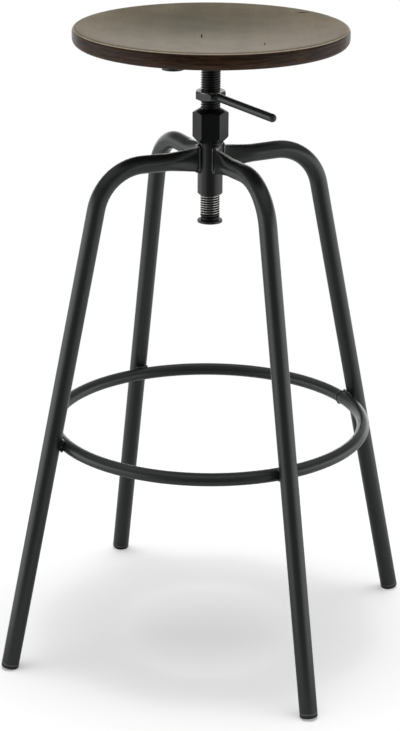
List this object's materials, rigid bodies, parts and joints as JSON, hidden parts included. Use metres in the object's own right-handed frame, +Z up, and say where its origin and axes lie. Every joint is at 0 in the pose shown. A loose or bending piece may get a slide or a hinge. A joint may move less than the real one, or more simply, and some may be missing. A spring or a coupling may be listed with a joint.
{
  "type": "bar stool",
  "caption": "Bar stool with a dished round wooden seat on a threaded spindle, a lever lock nut, splayed bent-tube legs and a foot ring; turning the seat raises or lowers it.",
  "frame": {"origin": "on the floor, under the spindle's axis", "axes": "+Z up along the spindle; -Y is the front; the legs lie on the diagonals of X and Y"},
  "size_m": [0.4136, 0.4136, 0.7915],
  "materials": {
    "seat_wood": "dark brown stain under satin varnish",
    "black_paint": "satin black powder coat",
    "spindle_steel": "blackened steel, worn bright on the thread",
    "lock_steel": "blackened steel, lighter on the flats",
    "screw_steel": "zinc-plated steel",
    "foot_plastic": "black moulded plastic"
  },
  "bodies": {
    "frame": {"screw_hub": "black_paint", "hub_welds": "black_paint", "foot_ring": "black_paint", "ring_welds": "black_paint", "leg_front_right": "black_paint", "leg_back_right": "black_paint", "leg_back_left": "black_paint", "leg_front_left": "black_paint", "foot_plug_front_right": "foot_plastic", "foot_plug_back_right": "foot_plastic", "foot_plug_back_left": "foot_plastic", "foot_plug_front_left": "foot_plastic"},
    "stop": {"stop_disc": "spindle_steel"},
    "seat": {"seat_top": "seat_wood", "seat_spider": "black_paint", "seat_screws": "screw_steel", "spindle": "spindle_steel", "spider_weld": "black_paint", "stop_screw": "screw_steel"},
    "lock_core": {"lock_nut_core": "lock_steel"},
    "lock": {"lock_nut": "lock_steel", "lock_lever": "black_paint"}
  },
  "joints": [
    {"name": "seat_lift", "type": "slide", "parent": "frame", "child": "stop", "axis": [0, 0, 1], "range_m": [-0.0441, 0.0316]},
    {"name": "seat_turn", "type": "hinge", "parent": "stop", "child": "seat", "pos_m": [0, 0, 0.65], "axis": [0, 0, 1], "range_deg": [-5280, 3780]},
    {"name": "lock_rise", "type": "slide", "parent": "frame", "child": "lock_core", "axis": [0, 0, 1], "range_m": [-0.0111, 0.0031]},
    {"name": "lock_turn", "type": "hinge", "parent": "lock_core", "child": "lock", "pos_m": [0, 0, 0.70865], "axis": [0, 0, 1], "range_deg": [-1320, 360]}
  ],
  "couplings": [
    {"joint": "seat_lift", "follows": "seat_turn", "m_per_rad": 0.00047746},
    {"joint": "lock_rise", "follows": "lock_turn", "m_per_rad": 0.00047746}
  ]
}
